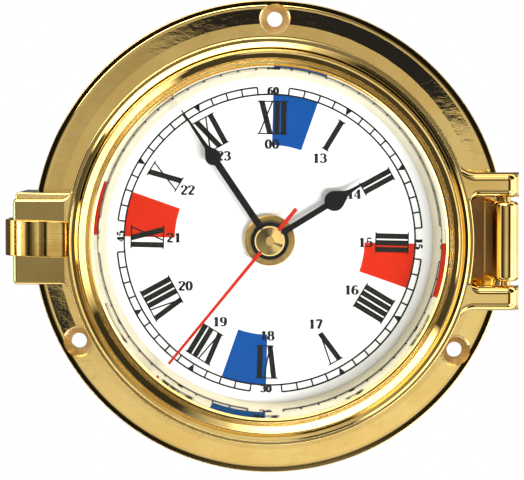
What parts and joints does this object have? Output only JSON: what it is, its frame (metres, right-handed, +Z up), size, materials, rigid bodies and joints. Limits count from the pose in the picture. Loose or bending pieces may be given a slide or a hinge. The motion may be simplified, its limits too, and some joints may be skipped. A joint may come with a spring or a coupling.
{
  "type": "marine clock",
  "caption": "Round brass bulkhead clock with a hinged glazed bezel, a spring catch, a radio sector dial, three hands and a quartz movement, screwed to a wall by its flange.",
  "frame": {"origin": "centre of the flat back face of the flange, on the wall that the clock is screwed to", "axes": "+Z up to twelve o'clock, +X to the right as seen from the front (hinge side), +Y out of the back face into the wall; the dial faces -Y"},
  "size_m": [0.127, 0.0386, 0.12],
  "materials": {
    "polished_brass": "polished and lacquered casting",
    "sprung_brass": "rolled strip, fine lines along it",
    "turned_brass": "turned, fine rings",
    "lens_glass": "clear, flat",
    "black_rubber": "matt",
    "dial_white": "satin white with printed figures",
    "hand_black": "black lacquer",
    "hand_red": "red lacquer",
    "black_plastic": "moulded",
    "pale_resin": "moulded, slightly waxy",
    "magnet_grey": "sintered",
    "stator_iron": "stamped sheet",
    "coil_copper": "enamelled copper winding",
    "board_green": "solder resist",
    "cell_jacket": "plain blue sleeve"
  },
  "bodies": {
    "case": {"case_body": "polished_brass", "case_seal": "black_rubber", "hinge_pin": "turned_brass", "reflector_ring": "polished_brass", "dial_plate": "dial_white", "dial_washer": "black_rubber", "threaded_bush": "turned_brass", "centre_nut": "turned_brass", "movement_front_housing": "black_plastic", "movement_back_cover": "black_plastic", "movement_bridge": "pale_resin", "stator": "stator_iron", "coil": "coil_copper", "circuit_board": "board_green", "quartz_crystal": "stator_iron", "battery": "cell_jacket", "contact_positive": "stator_iron", "contact_negative": "stator_iron"},
    "bezel": {"bezel_ring": "polished_brass", "bezel_glass": "lens_glass", "glass_gasket": "black_rubber"},
    "latch": {"latch_clip": "sprung_brass"},
    "minute": {"minute_arbor": "pale_resin", "minute_hand": "hand_black"},
    "hour": {"hour_wheel": "pale_resin", "hour_hand": "hand_black"},
    "minute_work": {"minute_work_wheel": "pale_resin", "setting_knob": "black_plastic"},
    "rotor": {"rotor": "magnet_grey"},
    "step": {"step_wheel": "pale_resin"},
    "second": {"second_wheel": "pale_resin", "second_hand": "hand_red", "hand_cap": "turned_brass"},
    "third": {"third_wheel": "pale_resin"},
    "centre": {"centre_wheel": "pale_resin"}
  },
  "joints": [
    {"name": "bezel_hinge", "type": "hinge", "parent": "case", "child": "bezel", "pos_m": [0.05785, -0.0283, 0], "axis": [0, 0, 1], "range_deg": [0, 120]},
    {"name": "latch_flex", "type": "hinge", "parent": "bezel", "child": "latch", "pos_m": [-0.049, -0.0315, 0], "axis": [0, 0, 1], "range_deg": [0, 12], "stiffness_Nm_per_rad": 0.9},
    {"name": "minute_turn", "type": "hinge", "parent": "case", "child": "minute", "pos_m": [0, -0.0213, 0], "axis": [0, 1, 0], "continuous": true},
    {"name": "hour_turn", "type": "hinge", "parent": "case", "child": "hour", "pos_m": [0, -0.0213, 0], "axis": [0, 1, 0], "continuous": true},
    {"name": "minute_work_turn", "type": "hinge", "parent": "case", "child": "minute_work", "pos_m": [-0.00157, -0.015, 0.00892], "axis": [0, 1, 0], "continuous": true},
    {"name": "rotor_turn", "type": "hinge", "parent": "case", "child": "rotor", "pos_m": [-0.01446, -0.007, 0.00309], "axis": [0, 1, 0], "continuous": true},
    {"name": "step_turn", "type": "hinge", "parent": "case", "child": "step", "pos_m": [-0.00861, -0.007, 0.00152], "axis": [0, 1, 0], "continuous": true},
    {"name": "second_turn", "type": "hinge", "parent": "case", "child": "second", "pos_m": [0, -0.007, 0], "axis": [0, 1, 0], "continuous": true},
    {"name": "third_turn", "type": "hinge", "parent": "case", "child": "third", "pos_m": [0.00843, -0.007, -0.00149], "axis": [0, 1, 0], "continuous": true},
    {"name": "centre_turn", "type": "hinge", "parent": "case", "child": "centre", "pos_m": [0, -0.0084, 0], "axis": [0, 1, 0], "continuous": true}
  ],
  "couplings": [
    {"joint": "hour_turn", "follows": "minute_turn", "ratio": 0.083333},
    {"joint": "minute_work_turn", "follows": "minute_turn", "ratio": -0.33333},
    {"joint": "rotor_turn", "follows": "second_turn", "ratio": 30},
    {"joint": "step_turn", "follows": "second_turn", "ratio": -6},
    {"joint": "third_turn", "follows": "second_turn", "ratio": -0.13333},
    {"joint": "centre_turn", "follows": "second_turn", "ratio": 0.016667}
  ]
}
